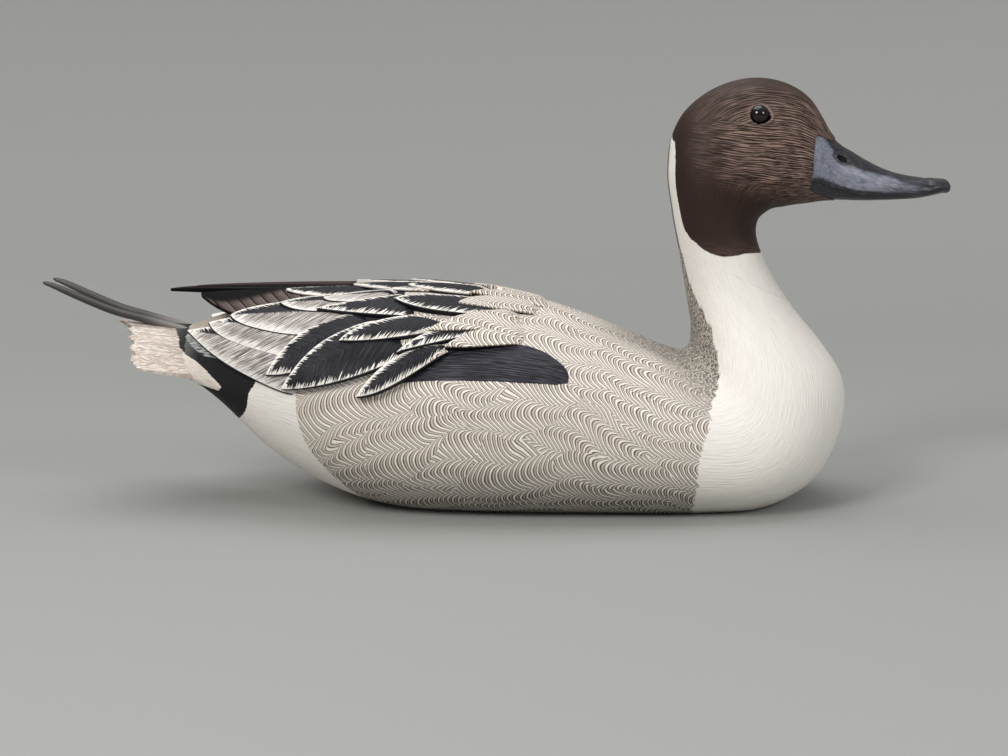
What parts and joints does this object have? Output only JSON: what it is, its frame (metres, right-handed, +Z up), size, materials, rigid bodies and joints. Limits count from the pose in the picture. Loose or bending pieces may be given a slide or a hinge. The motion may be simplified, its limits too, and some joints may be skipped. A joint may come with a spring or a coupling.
{
  "type": "carved pintail duck decoy",
  "caption": "Carved and painted drake pintail decoy with raised head, folded wings in relief, drooping tail fan and slender tail sprigs, standing on a flat underside.",
  "frame": {"origin": "middle of the overall length and width, on the surface the decoy stands on", "axes": "+X from the tail toward the bill, +Y toward the bird's left, +Z up"},
  "size_m": [0.4646, 0.154, 0.2157],
  "materials": {
    "painted_wood": "hand-painted wood, matt to satin: brown head, white breast, grey barred flanks, black feathers, blue-grey bill",
    "glass_eye": "very dark glass with a high polish",
    "sprig_paint": "thin wood painted dark brown-grey, satin"
  },
  "bodies": {
    "root": {"carving": "painted_wood", "eye_right": "glass_eye", "eye_left": "glass_eye", "tail_sprig_right": "sprig_paint", "tail_sprig_left": "sprig_paint"}
  },
  "joints": []
}
